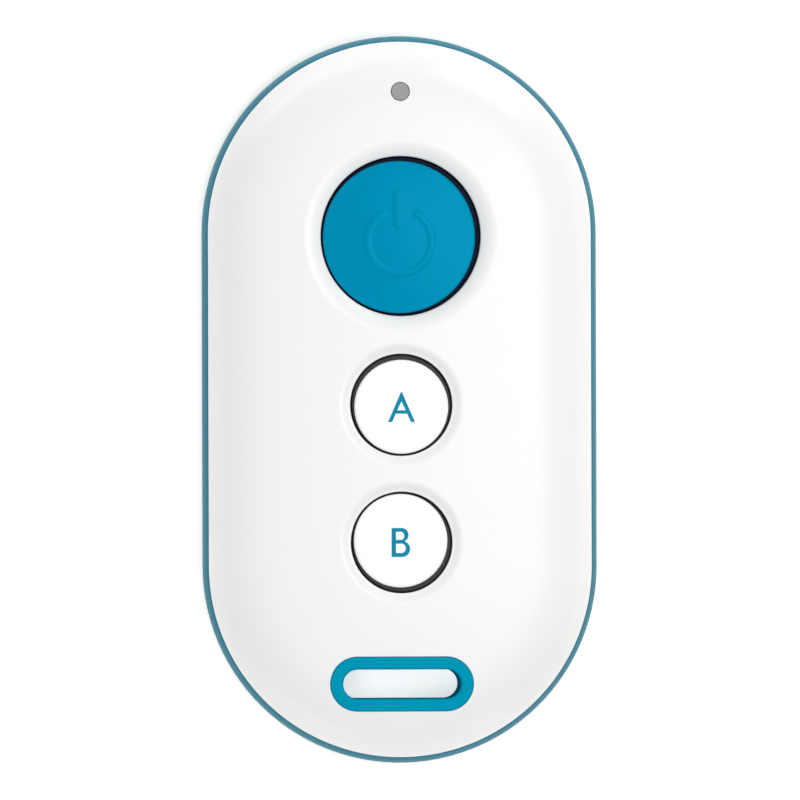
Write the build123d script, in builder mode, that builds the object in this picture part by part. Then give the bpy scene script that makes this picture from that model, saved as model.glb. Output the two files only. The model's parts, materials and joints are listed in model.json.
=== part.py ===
from build123d import *
import math
import os

os.makedirs("parts", exist_ok=True)

# Three-button alarm remote control, lying on its back.
# Millimetres. +Z out of the front face, +Y towards the indicator end,
# origin on the flat back face under the middle of the case.

# ---------------------------------------------------------------- case sizes
case_w = 38.0
case_l = 70.0
case_t = 12.0
end_r = case_w / 2                    # radius of the two round ends
half_span = (case_l - case_w) / 2     # end centres lie at y = +-half_span

# front cover: flat-ish crown arc, then a tighter edge arc down to the joint
crown_r = 180.0
edge_r = 5.6
a_edge = 79.0                         # slope of the cover where it meets the shell
cover_r = 18.46                       # plan radius of the cover at the joint
cover_wall = 1.4
s_crown = (cover_r - edge_r * math.sin(math.radians(a_edge))) / (crown_r - edge_r)
a_crown = math.degrees(math.asin(s_crown))
crown_cz = case_t - crown_r
edge_cx = (crown_r - edge_r) * s_crown
edge_cz = crown_cz + (crown_r - edge_r) * math.cos(math.radians(a_crown))
joint_z = edge_cz + edge_r * math.cos(math.radians(a_edge))
lip_out, lip_in, lip_z = 17.5, 16.9, joint_z - 1.4
a_lip = math.degrees(math.asin((lip_in - edge_cx) / (edge_r - cover_wall)))

# rear shell
shell_rim_r = 18.5
shell_in_r = 17.6
wide_z = 4.8                          # height of the widest line
foot_r = 15.4                         # edge of the flat back face
shell_floor = 1.3

# ---------------------------------------------------------------- keys
key_names = ["power", "a", "b"]
key_y = [15.70, -0.52, -13.75]
hole_r = [7.69, 4.91, 4.88]
seat_r = [9.13, 5.69, 5.69]           # outer edge of the dished seat
rim_z = [11.20, 11.62, 11.62]         # height of each hole rim
rim_w = [0.14, 0.22, 0.22]            # flat land of the rim before the seat slopes up
seat_a, brow_a = 40.0, 8.0            # slope of each seat at its land, and where it meets the crown
cap_r = [7.32, 4.52, 4.50]
cap_dx = [-0.16, 0.0, -0.10]          # how far each cap sits off its key's centre
cap_dy = [-0.10, -0.19, 0.165]
cap_top = [11.62, 11.90, 11.90]
cap_dome = [60.0, 120.0, 120.0]
cap_th = [0.75, 0.50, 0.50]            # a thin disc on the dark key, which shows round it
base_r = [7.50, 4.71, 4.69]
flange_r = [8.6, 5.9, 5.9]
flange_z0, flange_z1 = 9.30, 10.00
mat_open_r = [9.0, 6.2, 6.2]
symbol_lift = 0.06
travel = 0.30

# ---------------------------------------------------------------- board and parts
board_z0, board_z1 = 5.3, 6.3
board_r = 16.3
board_low_y = -21.6
mat_z1 = 6.9
post_xy = [(13.6, 17.0), (-13.6, 17.0), (13.6, -12.0), (-13.6, -12.0)]
rib_r = 15.95                         # crush ribs of the cover reach in to this radius
rib_at = [(0.0, -10.0, 0.0), (0.0, 9.0, 0.0), (0.0, -10.0, 180.0), (0.0, 9.0, 180.0), (0.0, half_span, 55.0), (0.0, half_span, 125.0)]
cell_y = 8.5
cell_r, cell_h = 10.0, 3.2
cell_z0 = 1.85
screw_xy = [(9.5, -24.3), (-9.5, -24.3)]
boss_z = 5.9                          # where shell boss and cover boss meet
led_y = 29.60
led_r = 0.86

# ---------------------------------------------------------------- key-ring slot
slot_y = -27.36
slot_l, slot_w = 11.30, 2.79
collar_l, collar_w = 13.72, 5.19
collar_gap = 0.04
collar_lift = 0.12                    # the collar stands this much proud of the cover
collar_z0 = 0.10                      # its foot is this far inside the back face
collar_flange_l, collar_flange_w = 15.15, 6.60


def pill(half):
    """Solid of stadium plan from half a cross-section, x outwards and z up."""
    with BuildPart() as body:
        with BuildSketch(Plane.XZ.offset(-half_span)):
            add(half)
            mirror(half, about=Plane.YZ)
        extrude(amount=2 * half_span)
        with BuildSketch(Plane.XZ.offset(-half_span)):
            add(half)
        revolve(axis=Axis((0, half_span, 0), (0, 0, 1)), revolution_arc=180)
        with BuildSketch(Plane.XZ.offset(half_span)):
            add(half)
        revolve(axis=Axis((0, -half_span, 0), (0, 0, -1)), revolution_arc=180)
    return body.part


def off_slot(e):
    """Distance of an edge's middle from the line between the slot's two end centres."""
    m = e @ 0.5
    return math.hypot(max(abs(m.X) - (slot_l - slot_w) / 2, 0), m.Y - slot_y)


def off_axis(e):
    """Distance of an edge's middle from the line between the case's two end centres."""
    m = e @ 0.5
    return math.hypot(m.X, max(abs(m.Y) - half_span, 0))


# ================================================================ front cover
with BuildSketch() as cover_half:
    with BuildLine():
        top = CenterArc((0, crown_cz), crown_r, 90 - a_crown, a_crown)
        edge = CenterArc((edge_cx, edge_cz), edge_r, 90 - a_edge, a_edge - a_crown)
        under = CenterArc((0, crown_cz), crown_r - cover_wall, 90 - a_crown, a_crown)
        inner = CenterArc((edge_cx, edge_cz), edge_r - cover_wall, 90 - a_lip, a_lip - a_crown)
        Polyline(edge @ 0, (lip_out, joint_z), (lip_out, lip_z), (lip_in, lip_z), inner @ 0)
        Line(top @ 1, under @ 1)
    make_face()

with BuildPart() as front_cover:
    add(pill(cover_half.sketch))
    # screw bosses hang from the ceiling
    with BuildSketch(Plane.XY.offset(boss_z)):
        with Locations(*screw_xy):
            Circle(2.1)
    extrude(amount=10.5 - boss_z)
    # crush ribs on the side wall, down on the edge of the board
    with BuildSketch(Plane.XY.offset(board_z1)):
        for x, y, turn in rib_at:
            with Locations(Location((x, y, 0), (0, 0, turn)) * Location(((rib_r + 17.2) / 2, 0, 0))):
                Rectangle(17.2 - rib_r, 1.6)
    extrude(amount=8.85 - board_z1)
    # hole of each key and the dished seat round it, which rolls over into the crown
    for i in range(3):
        seat_top = case_t - seat_r[i] ** 2 / (4 * crown_r)
        land_r = hole_r[i] + rim_w[i]
        steep, shallow = math.radians(seat_a), math.radians(brow_a)
        roll = (math.tan(steep) * (seat_r[i] - land_r) - seat_top + rim_z[i]) / (
            math.tan(steep) * (math.sin(steep) - math.sin(shallow)) - math.cos(shallow) + math.cos(steep))
        with BuildSketch(Plane.YZ):
            with BuildLine():
                if i == 0:
                    # plain cone here, its edge is rounded below
                    brow_r = land_r + (seat_top - rim_z[i]) / math.tan(steep)
                    up = Line((key_y[i] + land_r + (13.0 - rim_z[i]) / math.tan(steep), 13.0), (key_y[i] + land_r, rim_z[i]))
                else:
                    over = CenterArc((key_y[i] + seat_r[i] + roll * math.sin(shallow), seat_top - roll * math.cos(shallow)),
                                     roll, 90 + brow_a, seat_a - brow_a)
                    Line((key_y[i] + seat_r[i] + (13.0 - seat_top) / math.tan(shallow), 13.0), over @ 0)
                    up = Line(over @ 1, (key_y[i] + land_r, rim_z[i]))
                Polyline(up @ 1, (key_y[i] + hole_r[i], rim_z[i]), (key_y[i] + hole_r[i], 9.0), (key_y[i], 9.0), (key_y[i], 13.0),
                         (key_y[i] + land_r + (13.0 - rim_z[i]) / math.tan(steep), 13.0) if i == 0
                         else (key_y[i] + seat_r[i] + (13.0 - seat_top) / math.tan(shallow), 13.0))
            make_face()
        revolve(axis=Axis((0, key_y[i], 0), (0, 0, 1)), mode=Mode.SUBTRACT)
        if i == 0:
            brow = front_cover.edges().filter_by(GeomType.LINE, reverse=True).filter_by(
                lambda e: (e @ 0.5).Z > rim_z[0] + 0.1
                and abs(math.hypot((e @ 0.5).X, (e @ 0.5).Y - key_y[0]) - brow_r) < 0.25)
            fillet(brow, (seat_r[0] - brow_r) / math.tan(steep / 2))
    # indicator hole
    with BuildSketch(Plane.XY.offset(8.0)):
        with Locations((0, led_y)):
            Circle(led_r + 0.05)
    extrude(amount=4, mode=Mode.SUBTRACT)
    # cut-out for the collar of the key-ring slot
    with BuildSketch(Plane.XY.offset(8.0)):
        with Locations((0, slot_y)):
            SlotOverall(collar_l + 2 * collar_gap, collar_w + 2 * collar_gap)
    extrude(amount=5, mode=Mode.SUBTRACT)
    # pilot holes for the case screws
    with BuildSketch(Plane.XY.offset(boss_z)):
        with Locations(*screw_xy):
            Circle(0.86)
    extrude(amount=3.6, mode=Mode.SUBTRACT)
    # tongue at the indicator end and a snap bead on each long side
    with BuildSketch(Plane.XY.offset(lip_z)):
        with Locations((0, half_span)):
            Circle(lip_out + 0.45)
            Circle(lip_out - 0.1, mode=Mode.SUBTRACT)
        with Locations((0, half_span + 18)):
            Rectangle(8, 12, mode=Mode.INTERSECT)
    extrude(amount=0.5)
    with BuildSketch(Plane.XY.offset(lip_z)):
        with Locations((-lip_out - 0.05, 0), (lip_out + 0.05, 0)):
            Rectangle(0.5, 7)
    extrude(amount=0.4)
    # soft rims of the key holes
    rims = front_cover.edges().filter_by(GeomType.CIRCLE).filter_by(
        lambda e: any(abs(e.radius - r) < 1e-4 and abs(e.center().Z - z) < 1e-3
                      for r, z in zip(hole_r, rim_z)))
    fillet(rims, 0.12)
    # soft outer edge at the joint with the shell
    hem = front_cover.edges().filter_by(
        lambda e: abs((e @ 0.5).Z - joint_z) < 1e-4 and abs((e @ 0.1).Z - joint_z) < 1e-4
        and abs(off_axis(e) - cover_r) < 0.01)
    fillet(hem, 0.12)
front_cover.part.label = "front_cover"
export_step(front_cover.part, "parts/front_cover.step")

# ================================================================ rear shell
with BuildSketch() as shell_half:
    with BuildLine():
        belly = EllipticalCenterArc((foot_r, wide_z), end_r - foot_r, wide_z, start_angle=270, arc_size=90)
        flank = TangentArc((end_r, wide_z), (shell_rim_r, joint_z), tangent=(0, 1))
        Polyline(flank @ 1, (shell_in_r, joint_z), (shell_in_r, wide_z))
        EllipticalCenterArc((foot_r, wide_z), shell_in_r - foot_r, wide_z - shell_floor, start_angle=270, arc_size=90)
        Polyline((foot_r, shell_floor), (0, shell_floor), (0, 0), (foot_r, 0))
    make_face()

# crowned volume that the collar is trimmed to
with BuildSketch() as crown_half:
    with BuildLine():
        lifted = CenterArc((0, crown_cz + collar_lift), crown_r, 90 - a_crown, a_crown)
        rolled = CenterArc((edge_cx, edge_cz + collar_lift), edge_r, 90 - a_edge, a_edge - a_crown)
        Polyline(rolled @ 0, (cover_r, 2.0), (0, 2.0), lifted @ 1)
    make_face()
with BuildPart() as over_crown:
    with BuildSketch(Plane.XY.offset(8.0)):
        with Locations((0, slot_y)):
            Rectangle(18, 9)
    extrude(amount=7)
    add(pill(crown_half.sketch), mode=Mode.SUBTRACT)

with BuildPart() as rear_shell:
    add(pill(shell_half.sketch))
    # screw bosses
    with BuildSketch(Plane.XY.offset(0.6)):
        with Locations(*screw_xy):
            Circle(2.5)
    extrude(amount=boss_z - 0.6)
    # opening that the collar of the key-ring slot is pressed into
    with BuildSketch(Plane.XY.offset(-1)):
        with Locations((0, slot_y)):
            SlotOverall(collar_l, collar_w)
    extrude(amount=4, mode=Mode.SUBTRACT)
    # counterbored screw holes from the back
    with Locations(*[Location((x, y, 0), (180, 0, 0)) for x, y in screw_xy]):
        CounterBoreHole(radius=1.0, counter_bore_radius=1.75, counter_bore_depth=1.6, depth=8)
    # groove for the cover's tongue, and for its two snap beads
    with BuildSketch(Plane.XY.offset(lip_z - 0.1)):
        with Locations((0, half_span)):
            Circle(lip_out + 0.55)
            Circle(lip_out - 0.5, mode=Mode.SUBTRACT)
        with Locations((0, half_span + 18)):
            Rectangle(8.4, 12, mode=Mode.INTERSECT)
    extrude(amount=0.7, mode=Mode.SUBTRACT)
    with BuildSketch(Plane.XY.offset(lip_z - 0.1)):
        with Locations((-lip_out - 0.1, 0), (lip_out + 0.1, 0)):
            Rectangle(0.6, 7.4)
    extrude(amount=0.6, mode=Mode.SUBTRACT)
    # shallow blank label field in the back face
    with BuildSketch(Plane.XY):
        with Locations((0, 4.0)):
            RectangleRounded(21, 27, 3.0)
    extrude(amount=0.2, mode=Mode.SUBTRACT)
    # soft outer edge at the joint with the cover
    brim = rear_shell.edges().filter_by(
        lambda e: abs((e @ 0.5).Z - joint_z) < 1e-4 and abs((e @ 0.1).Z - joint_z) < 1e-4
        and abs(off_axis(e) - shell_rim_r) < 0.01)
    fillet(brim, 0.12)
rear_shell.part.label = "rear_shell"
export_step(rear_shell.part, "parts/rear_shell.step")

# ================================================================ key-ring slot collar
with BuildPart() as slot_collar:
    with BuildSketch(Plane.XY.offset(collar_z0)):
        with Locations((0, slot_y)):
            SlotOverall(collar_l, collar_w)
    extrude(amount=14 - collar_z0)
    add(over_crown.part, mode=Mode.SUBTRACT)
    # flange that rests on the floor of the shell
    with BuildSketch(Plane.XY.offset(shell_floor)):
        with Locations((0, slot_y)):
            SlotOverall(collar_flange_l, collar_flange_w)
    extrude(amount=0.8)
    # slot right through
    with BuildSketch(Plane.XY.offset(-1)):
        with Locations((0, slot_y)):
            SlotOverall(slot_l, slot_w)
    extrude(amount=15, mode=Mode.SUBTRACT)
    # eased mouth at the back
    mouth = slot_collar.faces().filter_by(Axis.Z).sort_by(Axis.Z)[0].edges().filter_by(
        lambda e: abs(off_slot(e) - slot_w / 2) < 0.03)
    fillet(mouth, 0.45)
    # rounded top edges: soft inside, crisp outside
    crest = slot_collar.edges().filter_by(lambda e: (e @ 0.5).Z > 11.0)
    fillet(crest.filter_by(lambda e: abs(off_slot(e) - slot_w / 2) < 0.03), 0.35)
    crest = slot_collar.edges().filter_by(lambda e: (e @ 0.5).Z > 11.0)
    fillet(crest.filter_by(lambda e: 2.45 < off_slot(e) < 2.80), 0.15)
slot_collar.part.label = "slot_collar"
export_step(slot_collar.part, "parts/slot_collar.step")

# ================================================================ inner frame
# tray on the shell's floor that carries the board and cradles the coin cell
with BuildPart() as inner_frame:
    with BuildSketch(Plane.XY.offset(shell_floor)):
        with Locations((0, 3.5)):
            RectangleRounded(28.6, 34.0, 3.0)
        with Locations((0, cell_y)):
            Circle(cell_r + 0.3, mode=Mode.SUBTRACT)
            Rectangle(22.0, 8.6, mode=Mode.SUBTRACT)
        with Locations((0, -8.2)):
            RectangleRounded(20.0, 5.0, 1.0, mode=Mode.SUBTRACT)
    extrude(amount=0.8)
    # posts with locating pins
    with BuildSketch(Plane.XY.offset(shell_floor)):
        with Locations(*post_xy):
            Circle(1.2)
    extrude(amount=board_z0 - shell_floor)
    with BuildSketch(Plane.XY.offset(board_z0)):
        with Locations(*post_xy):
            Circle(0.6)
    extrude(amount=1.25)
    # cradle ribs round the coin cell, open where the clip's legs pass
    with BuildSketch(Plane.XY.offset(shell_floor)):
        with Locations((0, cell_y)):
            Circle(cell_r + 1.1)
            Circle(cell_r + 0.3, mode=Mode.SUBTRACT)
            Rectangle(30, 10.4, mode=Mode.SUBTRACT)
    extrude(amount=2.3)
inner_frame.part.label = "inner_frame"
export_step(inner_frame.part, "parts/inner_frame.step")

# raised power symbol of the large cap: open ring with an upright bar, its top
# a little above the cap's dome all over
with BuildPart() as symbol:
    sx, sy = cap_dx[0], key_y[0] + cap_dy[0]
    top_r = cap_dome[0] + symbol_lift
    top_cz = cap_top[0] - cap_dome[0]
    with BuildSketch(Plane.XY.offset(cap_top[0] - 0.6)):
        with Locations((sx + 0.05, sy - 0.41)):
            Circle(3.40)
            Circle(2.84, mode=Mode.SUBTRACT)
            with Locations((0, 2.6)):
                Trapezoid(5.12, 3.0, 122, rotation=180, mode=Mode.SUBTRACT)
        with Locations((sx - 0.10, sy + 2.67)):
            SlotOverall(3.6, 0.66, rotation=90)
    extrude(amount=1.0)
    with BuildSketch(Plane.XZ.offset(-sy)):
        with BuildLine():
            high = Polyline((sx, cap_top[0] + symbol_lift), (sx, 10.9), (sx + 6, 10.9), (sx + 6, top_cz + math.sqrt(top_r ** 2 - 36)))
            RadiusArc(high @ 1, high @ 0, -top_r)
        make_face()
    revolve(axis=Axis((sx, sy, 0), (0, 0, 1)), mode=Mode.INTERSECT)

# ================================================================ keys
for i in range(3):
    cx, cy = cap_dx[i], key_y[i] + cap_dy[i]
    z0 = cap_top[i] - cap_th[i]
    dome_cz = cap_top[i] - cap_dome[i]
    skirt_z = dome_cz + math.sqrt(cap_dome[i] ** 2 - cap_r[i] ** 2)

    # hard cap: domed disc with a peg underneath
    with BuildPart() as cap:
        with BuildSketch(Plane.XZ.offset(-cy)):
            with BuildLine():
                Polyline((cx, cap_top[i]), (cx, z0), (cx + cap_r[i], z0), (cx + cap_r[i], skirt_z))
                RadiusArc((cx + cap_r[i], skirt_z), (cx, cap_top[i]), -cap_dome[i])
            make_face()
        revolve(axis=Axis((cx, cy, 0), (0, 0, 1)))
        with BuildSketch(Plane.XY.offset(z0 - 0.6)):
            with Locations((cx, cy)):
                Circle(1.4)
        extrude(amount=0.8)
        rim = cap.edges().filter_by(GeomType.CIRCLE).filter_by(
            lambda e: abs(e.radius - cap_r[i]) < 1e-4).sort_by(Axis.Z)[-1]
        fillet(rim, 0.22)
        if i == 0:
            add(symbol.part)
    cap.part.label = "power_cap" if i == 0 else "cap_" + key_names[i]
    export_step(cap.part, "parts/" + cap.part.label + ".step")

    # silicone key under the cap: shoulder in the cover's hole, flange under
    # the cover, and a nub that presses the switch
    with BuildPart() as key_base:
        with BuildSketch(Plane.XY.offset(flange_z0)):
            with Locations((0, key_y[i])):
                Circle(flange_r[i])
        extrude(amount=flange_z1 - flange_z0)
        with BuildSketch(Plane.XY.offset(flange_z0)):
            with Locations((0, key_y[i])):
                Circle(base_r[i])
        extrude(amount=z0 - flange_z0)
        with BuildSketch(Plane.XY.offset(8.8)):
            with Locations((0, key_y[i])):
                Circle(1.7)
        extrude(amount=0.8)
        with BuildSketch(Plane.XY.offset(z0 - 0.6)):
            with Locations((cx, cy)):
                Circle(1.41)
        extrude(amount=1.0, mode=Mode.SUBTRACT)
    key_base.part.label = key_names[i] + "_key_base"
    export_step(key_base.part, "parts/" + key_base.part.label + ".step")

    # thin conical web from the mat up to the key's flange
    with BuildPart() as web:
        with BuildSketch(Plane.XZ.offset(-key_y[i])):
            with BuildLine():
                Polyline(
                    (mat_open_r[i], mat_z1),
                    (mat_open_r[i] + 0.3, mat_z1),
                    (flange_r[i], flange_z0),
                    (flange_r[i] - 0.3, flange_z0),
                    close=True,
                )
            make_face()
        revolve(axis=Axis((0, key_y[i], 0), (0, 0, 1)))
    web.part.label = key_names[i] + "_key_web"
    export_step(web.part, "parts/" + web.part.label + ".step")

    # tact switch: square housing with a stepped well
    with BuildPart() as switch:
        with BuildSketch(Plane.XY.offset(board_z1)):
            with Locations((0, key_y[i])):
                Rectangle(6.2, 6.2)
        extrude(amount=1.6)
        chamfer(switch.edges().filter_by(Axis.Z), 0.4)
        with BuildSketch(Plane.XY.offset(board_z1 + 0.3)):
            with Locations((0, key_y[i])):
                Circle(2.2)
        extrude(amount=1.0, mode=Mode.SUBTRACT)
        with BuildSketch(Plane.XY.offset(board_z1 + 1.0)):
            with Locations((0, key_y[i])):
                Circle(1.56)
        extrude(amount=1.0, mode=Mode.SUBTRACT)
    switch.part.label = key_names[i] + "_switch_housing"
    export_step(switch.part, "parts/" + switch.part.label + ".step")

    with BuildPart() as plunger:
        with BuildSketch(Plane.XY.offset(board_z1 + 0.65)):
            with Locations((0, key_y[i])):
                Circle(1.5)
        extrude(amount=8.8 - board_z1 - 0.65)
        with BuildSketch(Plane.XY.offset(board_z1 + 0.65)):
            with Locations((0, key_y[i])):
                Circle(2.05)
        extrude(amount=0.6)
        fillet(plunger.faces().sort_by(Axis.Z)[-1].edges(), 0.15)
    plunger.part.label = key_names[i] + "_switch_plunger"
    export_step(plunger.part, "parts/" + plunger.part.label + ".step")

    # snap dome under the plunger
    with BuildPart() as dome:
        with BuildSketch(Plane.XZ.offset(-key_y[i])):
            with BuildLine():
                Polyline(
                    (2.0, board_z1 + 0.30), (1.82, board_z1 + 0.30), (1.0, board_z1 + 0.50),
                    (0, board_z1 + 0.57), (0, board_z1 + 0.65), (1.08, board_z1 + 0.57),
                    close=True,
                )
            make_face()
        revolve(axis=Axis((0, key_y[i], 0), (0, 0, 1)))
    dome.part.label = key_names[i] + "_snap_dome"
    export_step(dome.part, "parts/" + dome.part.label + ".step")

# metal top plates of the three switches
with BuildPart() as switch_plates:
    with BuildSketch(Plane.XY.offset(board_z1 + 1.6)):
        with Locations(*[(0, y) for y in key_y]):
            Rectangle(6.0, 6.0)
            Circle(1.62, mode=Mode.SUBTRACT)
            with GridLocations(4.7, 4.7, 2, 2):
                Circle(0.3, mode=Mode.SUBTRACT)
    extrude(amount=0.12)
switch_plates.part.label = "switch_top_plates"
export_step(switch_plates.part, "parts/switch_top_plates.step")

# switch legs, soldered on the board each side of the housings
with BuildPart() as switch_legs:
    with BuildSketch(Plane.XY.offset(board_z1)):
        for y in key_y:
            with Locations((-3.65, y - 2.25), (3.65, y - 2.25), (-3.65, y + 2.25), (3.65, y + 2.25)):
                Rectangle(1.1, 0.7)
    extrude(amount=0.15)
switch_legs.part.label = "switch_legs"
export_step(switch_legs.part, "parts/switch_legs.step")

# ================================================================ keypad mat
with BuildPart() as keypad_mat:
    with BuildSketch(Plane.XY.offset(board_z1)):
        with Locations((0, 2.65)):
            RectangleRounded(20.8, 45.9, 4.0)
        for i in range(3):
            with Locations((0, key_y[i])):
                Circle(mat_open_r[i], mode=Mode.SUBTRACT)
    extrude(amount=mat_z1 - board_z1)
keypad_mat.part.label = "keypad_mat"
export_step(keypad_mat.part, "parts/keypad_mat.step")

# ================================================================ circuit board
with BuildPart() as circuit_board:
    with BuildSketch(Plane.XY.offset(board_z0)):
        SlotOverall(2 * half_span + 2 * board_r, 2 * board_r, rotation=90)
        with Locations((0, board_low_y - 10)):
            Rectangle(40, 20, mode=Mode.SUBTRACT)
        with Locations(*post_xy):
            Circle(0.65, mode=Mode.SUBTRACT)
    extrude(amount=board_z1 - board_z0)
circuit_board.part.label = "circuit_board"
export_step(circuit_board.part, "parts/circuit_board.step")

# loop antenna track round the edge of the board, open at the low end
with BuildPart() as loop_antenna:
    with BuildSketch(Plane.XY.offset(board_z1)):
        SlotOverall(2 * half_span + 31.6, 31.6, rotation=90)
        SlotOverall(2 * half_span + 30.2, 30.2, rotation=90, mode=Mode.SUBTRACT)
        with Locations((0, -27)):
            Rectangle(40, 16, mode=Mode.SUBTRACT)
    extrude(amount=0.07)
loop_antenna.part.label = "loop_antenna"
export_step(loop_antenna.part, "parts/loop_antenna.step")

# ================================================================ coin cell and contacts
with BuildPart() as coin_cell:
    with BuildSketch(Plane.XY.offset(cell_z0)):
        with Locations((0, cell_y)):
            Circle(cell_r)
    extrude(amount=2.7)
    fillet(coin_cell.edges().group_by(Axis.Z)[0], 0.5)
    with BuildSketch(Plane.XY.offset(cell_z0 + 2.7)):
        with Locations((0, cell_y)):
            Circle(8.7)
    extrude(amount=cell_h - 2.7)
    fillet(coin_cell.edges().group_by(Axis.Z)[-1], 0.2)
coin_cell.part.label = "coin_cell"
export_step(coin_cell.part, "parts/coin_cell.step")

clip_z0 = cell_z0 - 0.25
with BuildPart() as cell_clip:
    # strap under the cell, two legs up to the board, two solder feet
    with BuildSketch(Plane.XZ.offset(-(cell_y - 4.0))):
        with BuildLine():
            Polyline(
                (-12.4, board_z0), (-12.4, board_z0 - 0.25), (-10.65, board_z0 - 0.25),
                (-10.65, clip_z0), (10.65, clip_z0), (10.65, board_z0 - 0.25),
                (12.4, board_z0 - 0.25), (12.4, board_z0), (10.4, board_z0),
                (10.4, clip_z0 + 0.25), (-10.4, clip_z0 + 0.25), (-10.4, board_z0),
                close=True,
            )
        make_face()
    extrude(amount=-8.0)
    # slots that free two spring tongues
    with BuildSketch(Plane.XY.offset(clip_z0 - 0.5)):
        with Locations((-4.0, cell_y - 1.5), (-4.0, cell_y + 1.5), (4.0, cell_y - 1.5), (4.0, cell_y + 1.5)):
            SlotOverall(5.0, 0.5)
    extrude(amount=1.0, mode=Mode.SUBTRACT)
cell_clip.part.label = "cell_clip"
export_step(cell_clip.part, "parts/cell_clip.step")

with BuildPart() as negative_contact:
    with BuildSketch(Plane.XY.offset(cell_z0 + cell_h)):
        with Locations((0, cell_y)):
            Circle(4.2)
            Circle(2.4, mode=Mode.SUBTRACT)
            Rectangle(2.2, 7.0)
    extrude(amount=board_z0 - cell_z0 - cell_h)
negative_contact.part.label = "negative_contact"
export_step(negative_contact.part, "parts/negative_contact.step")

# ================================================================ board parts, back side
chip_xy = (-5.5, -11.5)
with BuildPart() as transmitter_chip:
    with BuildSketch(Plane.XY.offset(board_z0 - 1.55)):
        with Locations(chip_xy):
            Rectangle(4.9, 3.9)
    extrude(amount=1.4)
    chamfer(transmitter_chip.edges().group_by(Axis.Z)[0], 0.15)
transmitter_chip.part.label = "transmitter_chip"
export_step(transmitter_chip.part, "parts/transmitter_chip.step")

with BuildPart() as chip_leads:
    with BuildSketch(Plane.XY.offset(board_z0 - 0.15)):
        for k in range(4):
            with Locations((chip_xy[0] - 1.905 + 1.27 * k, chip_xy[1] - 2.55),
                           (chip_xy[0] - 1.905 + 1.27 * k, chip_xy[1] + 2.55)):
                Rectangle(0.4, 1.2)
    extrude(amount=0.15)
    with BuildSketch(Plane.XY.offset(board_z0 - 0.9)):
        for k in range(4):
            with Locations((chip_xy[0] - 1.905 + 1.27 * k, chip_xy[1] - 2.05),
                           (chip_xy[0] - 1.905 + 1.27 * k, chip_xy[1] + 2.05)):
                Rectangle(0.4, 0.2)
    extrude(amount=0.9)
chip_leads.part.label = "chip_leads"
export_step(chip_leads.part, "parts/chip_leads.step")

with BuildPart() as resonator:
    with BuildSketch(Plane.XY.offset(board_z0 - 1.5)):
        with Locations((5.5, -11.5)):
            RectangleRounded(5.0, 3.5, 0.5)
    extrude(amount=1.5)
    fillet(resonator.faces().sort_by(Axis.Z)[0].edges(), 0.25)
resonator.part.label = "resonator_can"
export_step(resonator.part, "parts/resonator_can.step")

with BuildPart() as capacitors:
    with BuildSketch(Plane.XY.offset(board_z0 - 0.8)):
        with Locations((-11.0, -8.5), (-11.0, -11.5), (0.0, -11.5), (0.0, -14.5), (5.5, -15.5), (10.5, -11.5)):
            Rectangle(2.0, 1.25)
    extrude(amount=0.8)
capacitors.part.label = "chip_capacitors"
export_step(capacitors.part, "parts/chip_capacitors.step")

with BuildPart() as resistors:
    with BuildSketch(Plane.XY.offset(board_z0 - 0.45)):
        with Locations((-11.0, -14.5), (-5.5, -16.5), (0.0, -8.5), (10.5, -8.5), (10.5, -15.5), (0.0, 24.5)):
            Rectangle(2.0, 1.25)
    extrude(amount=0.45)
resistors.part.label = "chip_resistors"
export_step(resistors.part, "parts/chip_resistors.step")

# ================================================================ indicator
with BuildPart() as indicator_led:
    with BuildSketch(Plane.XY.offset(board_z1)):
        with Locations((0, led_y)):
            Rectangle(2.0, 1.25)
    extrude(amount=0.35)
    with BuildSketch(Plane.XY.offset(board_z1 + 0.35)):
        with Locations((0, led_y)):
            Rectangle(1.3, 1.25)
    extrude(amount=0.45)
indicator_led.part.label = "indicator_led"
export_step(indicator_led.part, "parts/indicator_led.step")

with BuildPart() as light_guide:
    with BuildSketch(Plane.XY.offset(7.25)):
        with Locations((0, led_y)):
            Circle(led_r)
    extrude(amount=12.0 - 7.25)
    with BuildSketch(Plane.XY.offset(8.7)):
        with Locations((0, led_y)):
            Circle(1.5)
    extrude(amount=0.6)
    # outer end cut flush with the sloping cover
    split(bisect_by=Plane(origin=(0, led_y, 11.45), z_dir=(0, 0.13, 1)), keep=Keep.BOTTOM)
    fillet(light_guide.faces().sort_by(Axis.Z)[-1].edges(), 0.08)
light_guide.part.label = "light_guide"
export_step(light_guide.part, "parts/light_guide.step")

# ================================================================ case screws
with BuildPart() as case_screws:
    with BuildSketch(Plane.XY.offset(0.55)):
        with Locations(*screw_xy):
            Circle(1.6)
    extrude(amount=1.05)
    with BuildSketch(Plane.XY.offset(1.6)):
        with Locations(*screw_xy):
            Circle(0.85)
    extrude(amount=7.2)
    # cross recess in each head
    with BuildSketch(Plane.XY.offset(0.5)):
        with Locations(*screw_xy):
            Rectangle(1.9, 0.42)
            Rectangle(0.42, 1.9)
    extrude(amount=0.65, taper=12, mode=Mode.SUBTRACT)
    heads = case_screws.edges().filter_by(GeomType.CIRCLE).filter_by(
        lambda e: abs(e.radius - 1.6) < 1e-4).group_by(Axis.Z)[0]
    fillet(heads, 0.25)
case_screws.part.label = "case_screws"
export_step(case_screws.part, "parts/case_screws.step")
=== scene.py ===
import json
import math

import bpy
import numpy as np
from mathutils import Matrix, Vector
from mathutils.geometry import delaunay_2d_cdt

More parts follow.
